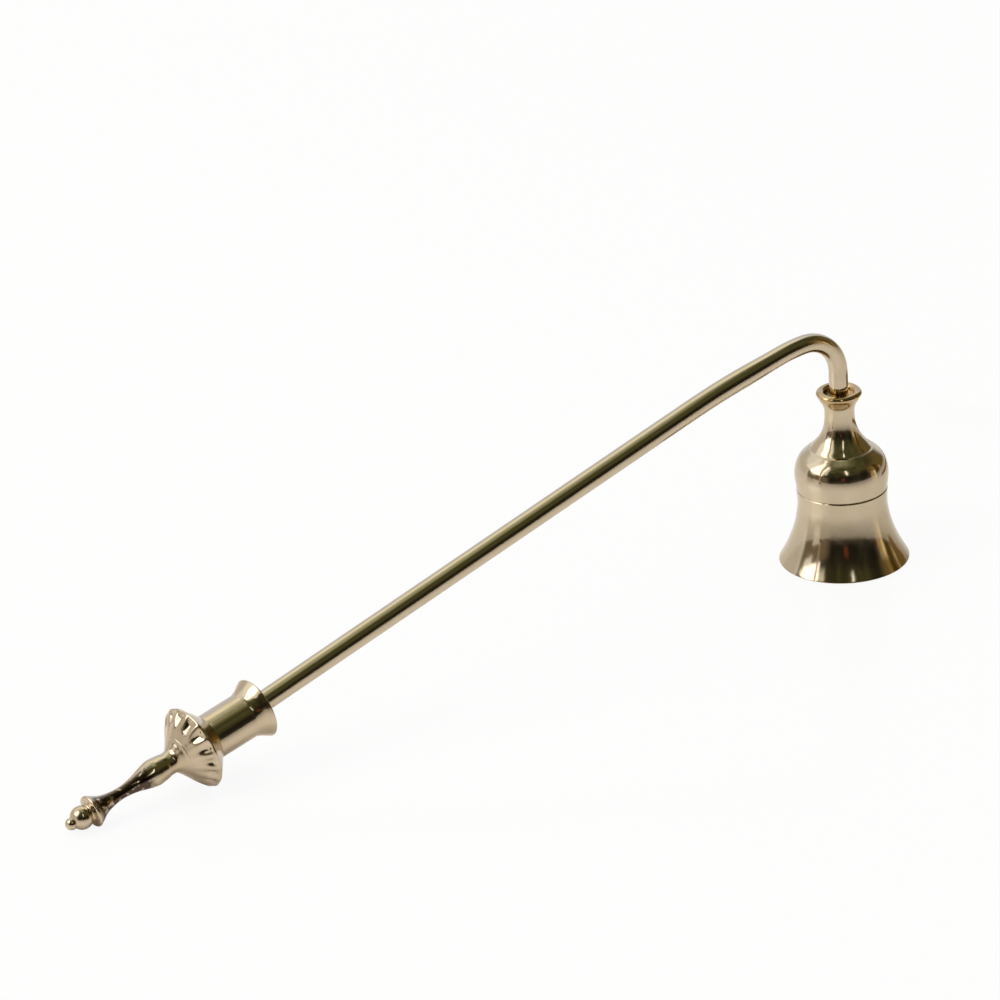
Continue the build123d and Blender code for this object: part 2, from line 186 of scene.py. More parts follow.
def curve(points, start, end, steps=8):
    """A smooth curve through points, leaving and arriving along two directions."""
    points = np.array(points, float)
    last = len(points) - 1
    gaps = np.linalg.norm(np.diff(points, axis=0), axis=1)
    matrix = np.eye(last + 1)
    slopes = np.zeros((last + 1, 2))
    slopes[0], slopes[last] = start, end
    for i in range(1, last):
        matrix[i, i - 1] = gaps[i]
        matrix[i, i] = 2 * (gaps[i - 1] + gaps[i])
        matrix[i, i + 1] = gaps[i - 1]
        before = (points[i] - points[i - 1]) / gaps[i - 1]
        after = (points[i + 1] - points[i]) / gaps[i]
        slopes[i] = 3 * (gaps[i] * before + gaps[i - 1] * after)
    slopes = np.linalg.solve(matrix, slopes)
    made = []
    for i in range(last):
        for step in range(steps):
            t = step / steps
            made.append(
                (2 * t**3 - 3 * t**2 + 1) * points[i]
                + (t**3 - 2 * t**2 + t) * gaps[i] * slopes[i]
                + (3 * t**2 - 2 * t**3) * points[i + 1]
                + (t**3 - t**2) * gaps[i] * slopes[i + 1]
            )
    made.append(points[last])
    return [tuple(point) for point in made]


def arc(start, middle, end, steps=12):
    """Points on the arc from start through middle to end."""
    (ax, ay), (bx, by), (cx, cy) = start, middle, end
    d = 2 * (ax * (by - cy) + bx * (cy - ay) + cx * (ay - by))
    aa, bb, cc = ax**2 + ay**2, bx**2 + by**2, cx**2 + cy**2
    ux = (aa * (by - cy) + bb * (cy - ay) + cc * (ay - by)) / d
    uy = (aa * (cx - bx) + bb * (ax - cx) + cc * (bx - ax)) / d
    radius = math.hypot(ax - ux, ay - uy)
    first, mid, last = [math.atan2(y - uy, x - ux) for x, y in (start, middle, end)]
    turn = (last - first) % (2 * math.pi)
    if (mid - first) % (2 * math.pi) > turn:
        turn -= 2 * math.pi
    angles = [first + turn * step / steps for step in range(steps + 1)]
    return [(ux + radius * math.cos(a), uy + radius * math.sin(a)) for a in angles]


def rounded(points, radius, steps=4, sharpest=25):
    """A closed outline with its sharp corners rounded off."""
    made = []
    count = len(points)
    for i in range(count):
        before, corner, after = [np.array(points[(i + k) % count], float) for k in (-1, 0, 1)]
        back, ahead = before - corner, after - corner
        back_length, ahead_length = np.linalg.norm(back), np.linalg.norm(ahead)
        if back_length < 1e-9 or ahead_length < 1e-9:
            continue
        back, ahead = back / back_length, ahead / ahead_length
        opening = math.acos(max(-1, min(1, float(back @ ahead))))
        on_axis = abs(corner[0]) < 1e-9
        if math.pi - opening < math.radians(sharpest) or on_axis:
            made.append(tuple(corner))
            continue
        reach = min(radius / math.tan(opening / 2), 0.45 * back_length, 0.45 * ahead_length)
        first, last = corner + back * reach, corner + ahead * reach
        for step in range(steps + 1):
            t = step / steps
            made.append(tuple((1 - t) ** 2 * first + 2 * t * (1 - t) * corner + t**2 * last))
    return made


def held(points, most):
    """An outline with its long stretches divided, so that shading stays true beside the rounds."""
    made = []
    for i, point in enumerate(points):
        following = points[(i + 1) % len(points)]
        made.append(point)
        if math.dist(point, following) > most:
            for share in (0.08, 0.5, 0.92):
                made.append(tuple(between(a, b, share) for a, b in zip(point, following)))
    return made


def finished(name, points, rings, grain, node, material, closed_outline=True):
    """A mesh from rings of points, riding on the root, with the coordinates of its grain."""
    count = len(rings[0])
    faces = []
    for i in range(len(rings) if closed_outline else len(rings) - 1):
        this, following = rings[i], rings[(i + 1) % len(rings)]
        for j in range(count):
            k = (j + 1) % count
            faces.append((this[j], this[k], following[k], following[j]))
    mesh = bpy.data.meshes.new(name)
    mesh.from_pydata(points, [], faces)
    attribute = mesh.attributes.new("grain", "FLOAT_VECTOR", "POINT")
    attribute.data.foreach_set("vector", np.array(grain, np.float32).ravel())
    shape = bmesh.new()
    shape.from_mesh(mesh)
    bmesh.ops.remove_doubles(shape, verts=shape.verts, dist=1e-6)
    bmesh.ops.recalc_face_normals(shape, faces=shape.faces)
    shape.to_mesh(mesh)
    shape.free()
    mesh.shade_smooth()
    piece = bpy.data.objects.new(name, mesh)
    bpy.context.scene.collection.objects.link(piece)
    mesh.materials.append(material)
    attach(piece, "root")
    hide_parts(node)


def turned(name, shape, place, node, material, around, lobe=None):
    """A turned piece: a closed outline of radius and height, swept round an axis."""
    centre, axis, side = place
    across = axis.cross(side)
    points, rings, grain = [], [], []
    for radius, height in shape:
        ring = []
        for step in range(around):
            angle = 2 * math.pi * step / around
            r = radius - (lobe(radius, height, angle) if lobe else 0)
            out = side * (r * math.cos(angle)) + across * (r * math.sin(angle))
            ring.append(len(points))
            points.append((centre + out + axis * height) * MM)
            grain.append((r * math.cos(angle), r * math.sin(angle), height))
        rings.append(ring)
    finished(name, points, rings, grain, node, material)


# Materials: how many millimetres the painted shade in corners reaches, how dull the corners are,
# and the side of the finial that its painted shade lies on
CORNER_REACH = 3
CORNER_DULLNESS = 0.4
SHADED_SIDE = (-0.34, 0.94, 0)


def node_at(nodes, kind, **values):
    node = nodes.new(kind)
    for name, value in values.items():
        setattr(node, name, value)
    return node


def bare_material(name):
    """A new material with its nodes and links, and the socket that its surface goes into."""
    material = bpy.data.materials.new(name)
    material.use_nodes = True
    nodes, links = material.node_tree.nodes, material.node_tree.links
    nodes.clear()
    output = node_at(nodes, "ShaderNodeOutputMaterial")
    return material, nodes, links, output.inputs["Surface"]


def bare_metal(name):
    """A new metal with its nodes and links, and its shader."""
    material, nodes, links, surface = bare_material(name)
    shader = node_at(nodes, "ShaderNodeBsdfPrincipled")
    shader.inputs["Metallic"].default_value = 1
    links.new(shader.outputs["BSDF"], surface)
    return material, nodes, links, shader


def mapped(nodes, links, source, old, new=(0, 1), way="LINEAR"):
    """A value taken from one range to another."""
    step = node_at(nodes, "ShaderNodeMapRange", interpolation_type=way)
    for socket, value in zip(("From Min", "From Max", "To Min", "To Max"), (*old, *new)):
        step.inputs[socket].default_value = value
    links.new(source, step.inputs["Value"])
    return step.outputs["Result"]


def soft_step(nodes, links, source, start, end):
    """A soft step from 0 at start to 1 at end."""
    return mapped(nodes, links, source, (start, end), way="SMOOTHSTEP")


def product(nodes, links, first, second):
    times = node_at(nodes, "ShaderNodeMath", operation="MULTIPLY")
    links.new(first, times.inputs[0])
    links.new(second, times.inputs[1])
    return times.outputs["Value"]


def noise(nodes, links, place, scale, detail, roughness=0.5):
    made = node_at(nodes, "ShaderNodeTexNoise")
    made.inputs["Scale"].default_value = scale
    made.inputs["Detail"].default_value = detail
    made.inputs["Roughness"].default_value = roughness
    links.new(place, made.inputs["Vector"])
    return made.outputs["Fac"]


def blend(nodes, links, factor, first, second):
    """A mix of two colours, the first given as a colour or as the output of a node."""
    mix = node_at(nodes, "ShaderNodeMix", data_type="RGBA")
    if isinstance(first, tuple):
        mix.inputs["A"].default_value = (*first, 1)
    else:
        links.new(first, mix.inputs["A"])
    mix.inputs["B"].default_value = (*second, 1)
    links.new(factor, mix.inputs["Factor"])
    return mix.outputs["Result"]


def bump(nodes, links, height, strength, distance, under=None):
    """A bump, laid over another one if there is one."""
    made = node_at(nodes, "ShaderNodeBump")
    made.inputs["Strength"].default_value = strength
    made.inputs["Distance"].default_value = distance
    links.new(height, made.inputs["Height"])
    if under:
        links.new(under, made.inputs["Normal"])
    return made.outputs["Normal"]


def shade_patches(nodes, links, grain, clean, first, last, colour, one_side):
    """Painted shade: a brown patch on a stretch of a turned piece, with a few cleaner spots left
    in it.
    """
    split = node_at(nodes, "ShaderNodeSeparateXYZ")
    links.new(grain, split.inputs["Vector"])
    along = split.outputs["Z"]
    begins, ends = soft_step(nodes, links, along, *first), soft_step(nodes, links, along, *last)
    cover = product(nodes, links, begins, ends)
    if one_side:
        around = node_at(nodes, "ShaderNodeVectorMath", operation="DOT_PRODUCT")
        around.inputs[1].default_value = SHADED_SIDE
        links.new(grain, around.inputs[0])
        edge = soft_step(nodes, links, around.outputs["Value"], -1.4, -0.2)
        cover = product(nodes, links, cover, edge)
    spots = soft_step(nodes, links, noise(nodes, links, grain, 0.45, 3), 0.34, 0.46)
    return blend(nodes, links, product(nodes, links, cover, spots), clean, colour)


def lathe_marks(nodes, links, grain, ring_marks):
    """Fine marks round the piece or along it, and the faint waves that polishing leaves."""
    stretch = node_at(nodes, "ShaderNodeVectorMath", operation="MULTIPLY")
    stretch.inputs[1].default_value = (0.35, 0.35, 9) if ring_marks else (6, 6, 0.12)
    links.new(grain, stretch.inputs[0])
    marks = noise(nodes, links, stretch.outputs["Vector"], 1, 3)
    waves = noise(nodes, links, grain, 0.3, 1)
    fine = bump(nodes, links, marks, 0.05, 0.05 * MM)
    return bump(nodes, links, waves, 0.25, 0.12 * MM, fine)


def brass(name, base, corner_shade, roughness, ring_marks, painted_shade=None):
    """Polished brass: soft clouds of tone, fine marks of the lathe, dull corners, and painted
    shade darkening its corners.
    """
    material, nodes, links, shader = bare_metal(name)
    grain = node_at(nodes, "ShaderNodeAttribute", attribute_name="grain").outputs["Vector"]
    clouds = noise(nodes, links, grain, 0.16, 5, 0.62)
    open_space = node_at(nodes, "ShaderNodeAmbientOcclusion", samples=6, only_local=True)
    open_space.inputs["Distance"].default_value = CORNER_REACH * MM
    corners = mapped(nodes, links, open_space.outputs["AO"], (0.35, 0.75), (1, 0))

    deeper = (base[0] * 0.93, base[1] * 0.93, base[2] * 0.86)
    colour = blend(nodes, links, mapped(nodes, links, clouds, (0.35, 0.72)), base, deeper)
    # Painted shade: the colour darkens towards a brown where hollows, creases and joints hide the
    # surface
    colour = blend(nodes, links, corners, colour, corner_shade)
    # Painted shade on a stretch of the piece, where it has one
    if painted_shade:
        colour = shade_patches(nodes, links, grain, colour, *painted_shade)
    links.new(colour, shader.inputs["Base Color"])

    polish = mapped(nodes, links, clouds, (0.3, 0.75), (roughness * 0.8, roughness * 1.5))
    dull = node_at(nodes, "ShaderNodeMath", operation="MULTIPLY_ADD")
    dull.inputs[1].default_value = CORNER_DULLNESS
    links.new(corners, dull.inputs[0])
    links.new(polish, dull.inputs[2])
    links.new(dull.outputs["Value"], shader.inputs["Roughness"])
    links.new(lathe_marks(nodes, links, grain, ring_marks), shader.inputs["Normal"])
    return material


# The painted shades, a patchy brown-gold shade and reflection on the cup and a dark shade on one
# side of the finial: between which heights each begins and ends, its colour, whether it spares a
# side
CUP_SHADE = ((50.2, 53.6), (58, 57), (0.55, 0.39, 0.2), False)
FINIAL_SHADE = ((-16, -19), (-38.5, -36.5), (0.1, 0.068, 0.052), True)
PALE_BRASS = (0.635, 0.54, 0.4)
WARM_BRASS = (0.635, 0.53, 0.39)
# The brown of the painted shade in corners, creases and hollows
CORNER_SHADE_BRASS = (0.4, 0.25, 0.11)
bell_brass = brass("bell_brass", PALE_BRASS, CORNER_SHADE_BRASS, 0.1, True, CUP_SHADE)
rod_brass = brass("rod_brass", PALE_BRASS, CORNER_SHADE_BRASS, 0.11, False)
handle_brass = brass("handle_brass", WARM_BRASS, CORNER_SHADE_BRASS, 0.1, True, FINIAL_SHADE)

# Bell
bell_place = (Vector((BELL_X, 0, 0)), Vector((0, 0, 1)), Vector((1, 0, 0)))
waist = (SKIRT_WAIST_RADIUS, FLARE_HEIGHT)
flare = outline(SKIRT_SHARES, (MOUTH_RADIUS, MOUTH_ROUND), waist)
skirt_top = (DOME_FOOT_RADIUS, SKIRT_HEIGHT - JOINT_GROOVE)
spigot_radius = DOME_FOOT_RADIUS - DOME_WALL
inner_skirt = [(radius - SKIRT_WALL, height) for radius, height in flare]
skirt = curve(flare, heading(MOUTH_LEAN), heading(0))
skirt += curve([waist, skirt_top], heading(0), heading(JOINT_LEAN))[1:]
skirt += [
    (DOME_FOOT_RADIUS - JOINT_GROOVE, SKIRT_HEIGHT),
    (spigot_radius, SKIRT_HEIGHT),
    (spigot_radius, SPIGOT_TOP),
    (spigot_radius - SPIGOT_WALL, SPIGOT_TOP),
    (spigot_radius - SPIGOT_WALL, SKIRT_HEIGHT),
    (SKIRT_WAIST_RADIUS - SKIRT_WALL, SKIRT_HEIGHT - SPIGOT_LEAD),
]
skirt += curve(inner_skirt, heading(MOUTH_LEAN), heading(0))[::-1]
skirt += [(MOUTH_RADIUS - SKIRT_WALL, 0)]
lip_middle = MOUTH_ROUND * (1 - math.sqrt(0.5))
skirt += arc(
    (MOUTH_RADIUS - MOUTH_ROUND, 0),
    (MOUTH_RADIUS - lip_middle, lip_middle),
    (MOUTH_RADIUS, MOUTH_ROUND),
    5,
)[:-1]
skirt = held(rounded(skirt, 0.12), LONGEST_STRETCH)
turned("skirt", skirt, bell_place, "bell_skirt", bell_brass, BELL_SIDES)

belly = (DOME_BELLY_RADIUS, DOME_BELLY_HEIGHT)
dome_foot = (DOME_FOOT_RADIUS, SKIRT_HEIGHT + JOINT_GROOVE)
dome_shoulder = outline(SHOULDER_SHARES, belly, (SHOULDER_RADIUS, SHOULDER_HEIGHT))
ceiling = SHOULDER_HEIGHT - DOME_WALL
inner_belly = (DOME_BELLY_RADIUS - DOME_WALL, DOME_BELLY_HEIGHT)
inner_shoulder = outline(SHOULDER_SHARES, inner_belly, (SHOULDER_RADIUS - DOME_WALL, ceiling))
inner_foot = (spigot_radius, SPIGOT_TOP)
dome = curve([dome_foot, *dome_shoulder], heading(JOINT_LEAN), heading(SHOULDER_LEAN), FINE_STEPS)
dome = dome[:-1] + [
    (SHOULDER_RADIUS + SHOULDER_LINE * 0.9, SHOULDER_HEIGHT - SHOULDER_LINE),
    (SHOULDER_RADIUS - SHOULDER_LINE, SHOULDER_HEIGHT),
    (STUD_HOLE, SHOULDER_HEIGHT),
    (STUD_HOLE, ceiling),
]
dome += curve([inner_foot, *inner_shoulder], heading(JOINT_LEAN), heading(SHOULDER_LEAN))[::-1]
dome += [(spigot_radius, SKIRT_HEIGHT), (DOME_FOOT_RADIUS - JOINT_GROOVE, SKIRT_HEIGHT)]
dome = held(rounded(dome, 0.12), LONGEST_STRETCH)
turned("dome", dome, bell_place, "bell_dome", bell_brass, BELL_SIDES)

neck_start = (SHOULDER_RADIUS - SHOULDER_LINE, SHOULDER_HEIGHT)
neck_waist = (NECK_WAIST_RADIUS, NECK_WAIST_HEIGHT)
rim = (CUP_RADIUS, LIP_HEIGHT)
lip_inside = (CUP_RADIUS - CUP_LIP_WIDTH, LIP_HEIGHT)
neck_foot = outline(NECK_FOOT_SHARES, neck_start, neck_waist)
neck_cup = outline(NECK_CUP_SHARES, neck_waist, rim)
neck = curve(neck_foot, heading(SHOULDER_LEAN), heading(0), FINE_STEPS)
neck += curve(neck_cup, heading(0), heading(CUP_LEAN), FINE_STEPS)[1:]
neck += arc(rim, (CUP_RADIUS - CUP_LIP_WIDTH / 2, LIP_HEIGHT + CUP_LIP_RISE), lip_inside, 20)[1:]
neck += curve([lip_inside, (DISH_FLOOR_RADIUS, DISH_FLOOR_HEIGHT)], (0, -1), (-1, 0), 16)[1:]
neck += [
    (SOCKET_RADIUS, DISH_FLOOR_HEIGHT),
    (SOCKET_RADIUS, SOCKET_HEIGHT),
    (STUD_RADIUS, SOCKET_HEIGHT),
    (STUD_RADIUS, SHOULDER_HEIGHT),
]
neck = held(rounded(neck, 0.08), LONGEST_STRETCH)
turned("neck", neck, bell_place, "bell_neck", bell_brass, NECK_SIDES)


# Rod
def stretch_points(slope):
    """The rod's steps from its foot: each one's place back and up, slope, radius and length."""
    taper = slope - SWEEP_TURN
    tail = slope - HANDLE_TILT
    # Each stretch: its first and last slope, its bend's radius or its length, steps, two radii
    stretches = (
        (-90.0, CREST_ANGLE, CROOK_RADIUS, 46, SLIM_RADIUS, SLIM_RADIUS),
        (CREST_ANGLE, taper, CREST_RADIUS, 10, SLIM_RADIUS, SLIM_RADIUS),
        (taper, taper, TAPER_LENGTH, 8, SLIM_RADIUS, ROD_RADIUS),
        (taper, slope, SWEEP_RADIUS, 10, ROD_RADIUS, ROD_RADIUS),
        (slope, slope, RUN_LENGTH, 60, ROD_RADIUS, ROD_RADIUS),
        (slope, tail, -TAIL_RADIUS, 4, ROD_RADIUS, ROD_RADIUS),
        (tail, tail, TAIL_LENGTH, 2, ROD_RADIUS, ROD_RADIUS),
    )
    back, height, along = 0.0, CROOK_HEIGHT, CROOK_HEIGHT - SOCKET_HEIGHT
    steps = []
    for k in range(9):
        level = between(SOCKET_HEIGHT, height, k / 8)
        steps.append((0.0, level, -90.0, SLIM_RADIUS, along * k / 8))
    for first, last, size, count, start_radius, end_radius in stretches:
        for k in range(1, count + 1):
            now = between(first, last, k / count)
            a, b = math.radians(first), math.radians(now)
            if first == last:
                length = size * k / count
                move_back = length * math.cos(a)
                move_down = length * math.sin(a)
            else:
                length = abs(size * (b - a))
                move_back = size * (math.sin(b) - math.sin(a))
                move_down = size * (math.cos(a) - math.cos(b))
            ease = k / count
            radius = between(start_radius, end_radius, ease * ease * (3 - 2 * ease))
            steps.append((back + move_back, height - move_down, now, radius, along + length))
        back, height, along = steps[-1][0], steps[-1][1], steps[-1][4]
    return steps


def ring_clearance(slope):
    """How high the finial's ring hangs above the table when the rod has this slope."""
    height = stretch_points(slope)[-1][1]
    level = math.radians(slope - HANDLE_TILT)
    height -= (ROD_END + DISC_FRONT + RING[1]) * math.sin(level)
    return height - (RING[0] - RING_EDGE) * math.cos(level) - RING_EDGE


# The rod's slope lets the bell's mouth and the finial's ring rest on the table together
flattest, steepest = 0.0, 60.0
for halving in range(40):
    rod_slope = between(flattest, steepest, 0.5)
    if ring_clearance(rod_slope) > 0:
        flattest = rod_slope
    else:
        steepest = rod_slope
rod_steps = stretch_points(rod_slope)
rod_points, rod_rings, rod_grain = [], [], []


def rod_ring(step, radius, inset=0.0):
    back, height, slope, _, along = step
    ahead = Vector((-math.cos(math.radians(slope)), 0, -math.sin(math.radians(slope))))
    up = Vector((-math.sin(math.radians(slope)), 0, math.cos(math.radians(slope))))
    centre = Vector((BELL_X - back, 0, height)) - ahead * inset
    ring = []
    for side in range(ROD_SIDES):
        angle = 2 * math.pi * side / ROD_SIDES
        out = up * (radius * math.cos(angle)) + Vector((0, radius * math.sin(angle), 0))
        ring.append(len(rod_points))
        rod_points.append((centre + out) * MM)
        rod_grain.append((radius * math.cos(angle), radius * math.sin(angle), along))
    rod_rings.append(ring)


rod_ring(rod_steps[0], 0, -STUD_GRIP)
rod_ring(rod_steps[0], STUD_RADIUS, -STUD_GRIP)
rod_ring(rod_steps[0], STUD_RADIUS)
rod_ring(rod_steps[0], SLIM_RADIUS - ROD_BEVEL)
for rod_step in rod_steps:
    rod_ring(rod_step, rod_step[3])
rod_ring(rod_steps[-1], ROD_RADIUS - ROD_BEVEL)
rod_ring(rod_steps[-1], STUD_RADIUS)
rod_ring(rod_steps[-1], STUD_RADIUS, STUD_GRIP)
rod_ring(rod_steps[-1], 0, STUD_GRIP)
finished("rod_bar", rod_points, rod_rings, rod_grain, "rod", rod_brass, False)

# Handle
handle_slope = math.radians(rod_slope - HANDLE_TILT)
handle_line = Vector((math.cos(handle_slope), 0, math.sin(handle_slope)))
handle_side = Vector((-math.sin(handle_slope), 0, math.cos(handle_slope)))
rod_foot = Vector((BELL_X - rod_steps[-1][0], 0, rod_steps[-1][1]))
disc_centre = rod_foot - handle_line * ROD_END
handle_place = (disc_centre, handle_line, handle_side)

flare_start = (SLEEVE_RADIUS, FLARE_START)
flare_end = (FLARE_RADIUS, FLARE_END)
bore = SLEEVE_RADIUS - SLEEVE_WALL
inner_end = (FLARE_RADIUS - LIP_WIDTH, FLARE_END)
sleeve = [(SLEEVE_RADIUS, between(SLEEVE_SEAT, FLARE_START, k / 10)) for k in range(10)]
sleeve += curve(outline(FLARE_SHARES, flare_start, flare_end), heading(0), heading(FLARE_LEAN))
sleeve += arc(flare_end, (FLARE_RADIUS - LIP_WIDTH / 2, FLARE_END + LIP_RISE), inner_end, 12)[1:]
inner_flare = outline(FLARE_SHARES, (bore, FLARE_START), inner_end)
sleeve += curve(inner_flare, heading(0), heading(FLARE_LEAN))[::-1][1:]
sleeve += [(bore, SLEEVE_FLOOR), (STUD_HOLE, SLEEVE_FLOOR), (STUD_HOLE, SLEEVE_SEAT)]
sleeve = held(rounded(sleeve, 0.1), LONGEST_HANDLE_STRETCH)
turned("sleeve", sleeve, handle_place, "handle_sleeve", handle_brass, SLEEVE_SIDES)

# Shares of the disc's faces: along the depth, swing of radius left, depth of the lobes
DISC_FRONT_SHARES = (
    (0, 1, 0.04), (0.151, 0.833, 0.1), (0.283, 0.681, 0.18), (0.396, 0.556, 0.29),
    (0.509, 0.442, 0.48), (0.623, 0.333, 0.73), (0.736, 0.23, 0.93), (0.83, 0.147, 1),
    (0.906, 0.084, 0.76), (0.962, 0.041, 0.42),
)
DISC_BACK_SHARES = (
    (0, 0.983, 0.22), (0.052, 1, 0.12), (0.096, 0.986, 0.09), (0.139, 0.945, 0.07),
    (0.278, 0.795, 0.05), (0.452, 0.602, 0.02), (0.626, 0.41, 0), (0.817, 0.197, 0), (1, 0, 0),
)
seat = (DISC_SEAT_RADIUS, -DISC_FRONT)
widest = (DISC_RADIUS, 0)
foot = (DISC_FOOT_RADIUS, DISC_BACK)
disc_outline = outline([share[:2] for share in DISC_FRONT_SHARES], seat, widest)
disc_outline += outline([share[:2] for share in DISC_BACK_SHARES], widest, foot)
disc = curve(disc_outline, heading(DISC_FRONT_LEAN), heading(DISC_BACK_LEAN), 6)
disc += [(STUD_HOLE, DISC_BACK), (STUD_HOLE, -DISC_FRONT)]
depth_places = [DISC_FRONT * (share[0] - 1) for share in DISC_FRONT_SHARES]
depth_places += [DISC_BACK * share[0] for share in DISC_BACK_SHARES]
depths = [share[2] for share in DISC_FRONT_SHARES + DISC_BACK_SHARES]


def lobe(radius, height, angle):
    """How far the surface of the disc sinks between two lobes."""
    if radius < DISC_SEAT_RADIUS - 0.01:
        return 0
    across = ((angle - LOBE_PHASE) * LOBES / (2 * math.pi)) % 1 * 2 - 1
    deep = float(np.interp(height, depth_places, depths))
    return LOBE_DEPTH * deep * (0.5 - 0.5 * math.cos(math.pi * across))


disc = held(rounded(disc, 0.08), LONGEST_STRETCH)
disc_sides = LOBES * SIDES_PER_LOBE
turned("disc", disc, handle_place, "gadrooned_disc", handle_brass, disc_sides, lobe)


def on_finial(feature):
    return feature[0], -DISC_FRONT - feature[1]


def on_ring_edge(angle):
    """A point on the ring's round edge, turned from its widest place towards the end."""
    across = RING_EDGE * math.cos(math.radians(angle))
    along = RING_EDGE * math.sin(math.radians(angle))
    return on_finial((RING[0] - RING_EDGE + across, RING[1] + along))


def falling(angle):
    """The way the finial's outline heads towards its end when it leans out by an angle."""
    return math.sin(math.radians(angle)), -math.cos(math.radians(angle))


stem, swelling, thin = on_finial(STEM), on_finial(SWELLING), on_finial(WAIST)
cove, ball, button_neck = on_finial(COVE), on_finial(BALL), on_finial(BUTTON_NECK)
tip = on_finial((0, BUTTON[1] + BUTTON[0]))
finial = curve(outline(BASE_SHARES, seat, stem), falling(BASE_LEAN), falling(0))
finial += curve(outline(STEM_SHARES, stem, swelling), falling(0), falling(0))[1:]
finial += curve(outline(TAPER_SHARES, swelling, thin), falling(0), falling(0))[1:]
ring_start, ring_end = on_ring_edge(-RING_LEAN), on_ring_edge(RING_FALL)
trumpet = outline(TRUMPET_SHARES, thin, on_finial(RING)) + [ring_start]
finial += curve(trumpet, falling(0), falling(RING_LEAN))[1:]
finial += arc(ring_start, on_ring_edge(0), ring_end, 10)[1:]
finial += curve([ring_end, cove], falling(-RING_FALL), falling(-COVE_LEAN), FINE_STEPS)[1:]
finial += arc(cove, ball, button_neck, 20)[1:]
finial += arc(button_neck, on_finial(BUTTON), tip, 16)[1:]
hole_end = -DISC_FRONT - FINIAL_HOLE
finial += [(0, hole_end), (STUD_RADIUS, hole_end), (STUD_RADIUS, -DISC_FRONT)]
finial = held(rounded(finial, 0.06), LONGEST_HANDLE_STRETCH)
turned("finial_knob", finial, handle_place, "finial", handle_brass, FINIAL_SIDES)


# Inner pieces
def plain_metal(name, colour, roughness):
    """Plain metal of the hidden pieces, with a faint brushed grain."""
    material, nodes, links, shader = bare_metal(name)
    place = node_at(nodes, "ShaderNodeTexCoord").outputs["Object"]
    brushed = noise(nodes, links, place, 900, 4)
    darker = tuple(part * 0.7 for part in colour)
    rough = mapped(nodes, links, brushed, (0, 1), (roughness * 0.8, roughness * 1.4))
    links.new(blend(nodes, links, brushed, colour, darker), shader.inputs["Base Color"])
    links.new(rough, shader.inputs["Roughness"])
    return material


inner_brass = plain_metal("inner_brass", (0.62, 0.5, 0.3), 0.3)
stud_steel = plain_metal("stud_steel", (0.5, 0.5, 0.5), 0.32)
for node, material in (
    ("bell_washer", inner_brass), ("bell_nut", inner_brass), ("sleeve_washer", inner_brass),
    ("bell_stud", stud_steel), ("handle_stud", stud_steel),
):
    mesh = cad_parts[node].data
    mesh.materials.clear()
    mesh.materials.append(material)


# Studio
def direction(azimuth, elevation):
    """The way to a place in the room: azimuth 0 is +Y, 90 is +X."""
    a, e = math.radians(azimuth), math.radians(elevation)
    return Vector((math.sin(a) * math.cos(e), math.cos(a) * math.cos(e), math.sin(e)))


def card_material(name, colour, strength, soft, room=False):
    """The glow of a card, which fades towards its four edges."""
    material, nodes, links, surface = bare_material(name)
    light = node_at(nodes, "ShaderNodeEmission")
    light.inputs["Color"].default_value = (*colour, 1)
    light.inputs["Strength"].default_value = strength
    clear = node_at(nodes, "ShaderNodeBsdfTransparent")
    mixed = node_at(nodes, "ShaderNodeMixShader")
    place = node_at(nodes, "ShaderNodeAttribute", attribute_name="card")
    split = node_at(nodes, "ShaderNodeSeparateXYZ")
    links.new(place.outputs["Vector"], split.inputs["Vector"])
    across, upright = split.outputs["X"], split.outputs["Y"]
    left, right, low, high = soft
    sides = product(
        nodes, links,
        soft_step(nodes, links, across, 0, left),
        soft_step(nodes, links, across, 1, 1 - right),
    )
    ends = product(
        nodes, links,
        soft_step(nodes, links, upright, 0, low),
        soft_step(nodes, links, upright, 1, 1 - high),
    )
    links.new(product(nodes, links, sides, ends), mixed.inputs["Fac"])
    links.new(clear.outputs["BSDF"], mixed.inputs[1])
    links.new(light.outputs["Emission"], mixed.inputs[2])
    links.new(mixed.outputs["Shader"], surface)
    if room:
        room_colours(nodes, links, light)
    return material


def room_colours(nodes, links, light):
    """A dim room: dark at eye level, olive towards the ceiling, with soft shapes."""
    place = node_at(nodes, "ShaderNodeTexCoord")
    unit = node_at(nodes, "ShaderNodeVectorMath", operation="NORMALIZE")
    links.new(place.outputs["Object"], unit.inputs[0])
    split = node_at(nodes, "ShaderNodeSeparateXYZ")
    links.new(unit.outputs["Vector"], split.inputs["Vector"])
    ramp = node_at(nodes, "ShaderNodeValToRGB")
    links.new(split.outputs["Z"], ramp.inputs["Fac"])
    stops = ramp.color_ramp.elements
    stops[0].position, stops[0].color = 0.0, (0.1, 0.08, 0.055, 1)
    stops[1].position, stops[1].color = 1.0, (0.42, 0.42, 0.3, 1)
    for share, colour in (
        (0.045, (0.05, 0.042, 0.03)),
        (0.11, (0.028, 0.025, 0.018)),
        (0.2, (0.018, 0.017, 0.013)),
        (0.38, (0.026, 0.024, 0.014)),
        (0.5, (0.05, 0.047, 0.02)),
        (0.77, (0.075, 0.075, 0.032)),
        (0.87, (0.08, 0.078, 0.034)),
        (0.94, (0.1, 0.095, 0.045)),
        (0.985, (0.3, 0.3, 0.2)),
    ):
        stops.new(share).color = (*colour, 1)
    shapes = noise(nodes, links, unit.outputs["Vector"], 3.6, 2)
    links.new(ramp.outputs["Color"], light.inputs["Color"])
    links.new(mapped(nodes, links, shapes, (0.4, 0.7), (0.75, 1.7)), light.inputs["Strength"])


